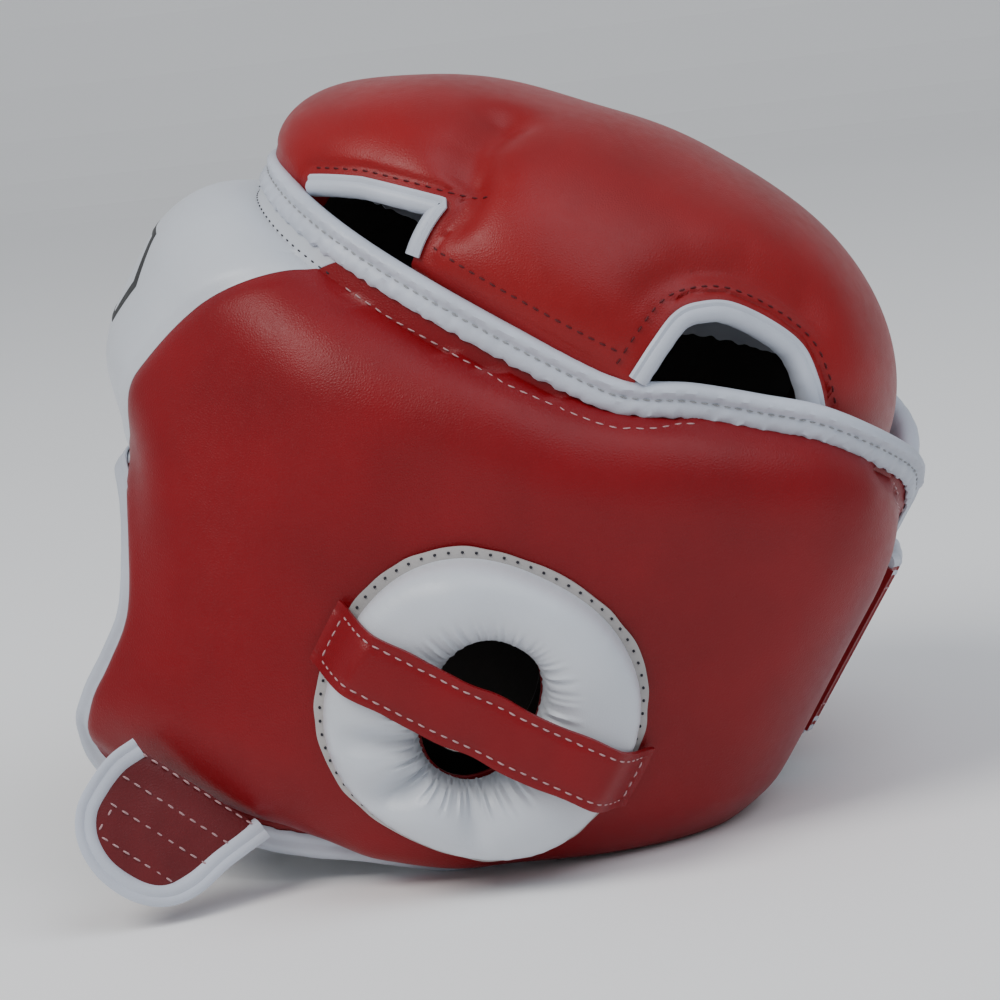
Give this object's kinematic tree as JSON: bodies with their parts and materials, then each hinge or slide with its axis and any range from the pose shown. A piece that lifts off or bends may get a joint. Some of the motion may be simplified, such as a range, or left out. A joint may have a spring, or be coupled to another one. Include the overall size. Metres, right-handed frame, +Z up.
{
  "type": "boxing headgear",
  "caption": "Padded head guard with wrap-round side wings, forehead and crown pads, ringed ear holes, chin tab and strap, and a rear closure strap.",
  "frame": {"origin": "under the middle of the headgear, on the ground that it stands on", "axes": "+Z up, face opening towards -Y and tipped up, wearer's left +X"},
  "size_m": [0.2462, 0.2528, 0.2246],
  "materials": {
    "red_leather": "satin grained synthetic leather",
    "white_leather": "satin synthetic leather",
    "base_leather": "matt, raw cut edge",
    "lining": "matt black brushed lining",
    "foam": "closed cell foam",
    "hook": "hook tape",
    "loop": "loop tape"
  },
  "bodies": {
    "headgear": {"crown_cover": "red_leather", "crown_foam": "foam", "crown_lining": "lining", "vent_binding_front_left": "white_leather", "vent_binding_front_right": "white_leather", "vent_binding_rear_left": "white_leather", "vent_binding_rear_right": "white_leather", "forehead_cover": "white_leather", "forehead_foam": "foam", "forehead_lining": "lining", "side_cover_left": "red_leather", "side_cover_right": "red_leather", "side_foam_left": "foam", "side_foam_right": "foam", "side_lining_left": "lining", "side_lining_right": "lining", "top_binding": "white_leather", "face_binding": "white_leather", "wing_binding_left": "white_leather", "wing_binding_right": "white_leather", "ear_ring_cover_left": "white_leather", "ear_ring_cover_right": "white_leather", "ear_ring_foam_left": "foam", "ear_ring_foam_right": "foam", "ear_base_left": "base_leather", "ear_base_right": "base_leather", "ear_strap_left": "red_leather", "ear_strap_right": "red_leather", "chin_strap_anchor": "red_leather"},
    "chin_tab": {"chin_tab": "red_leather", "chin_tab_hook_patch": "hook", "chin_tab_binding": "white_leather"},
    "chin_strap": {"chin_strap": "red_leather", "chin_strap_loop_patch": "loop"},
    "rear_strap": {"rear_strap": "red_leather", "rear_strap_hook_patch": "hook"}
  },
  "joints": [
    {"name": "chin_tab_fold", "type": "hinge", "parent": "headgear", "child": "chin_tab", "pos_m": [0.09208, -0.0884, 0.0353], "axis": [0.1573, -0.7319, 0.6629], "range_deg": [-62, 15]},
    {"name": "chin_strap_fold", "type": "hinge", "parent": "headgear", "child": "chin_strap", "pos_m": [-0.06386, -0.0921, 0.02788], "axis": [0, 0.7412, -0.6713], "range_deg": [-15, 60]},
    {"name": "rear_strap_peel", "type": "hinge", "parent": "headgear", "child": "rear_strap", "pos_m": [0.02796, 0.10139, 0.04066], "axis": [0, -0.5446, -0.8387], "range_deg": [0, 140]}
  ]
}
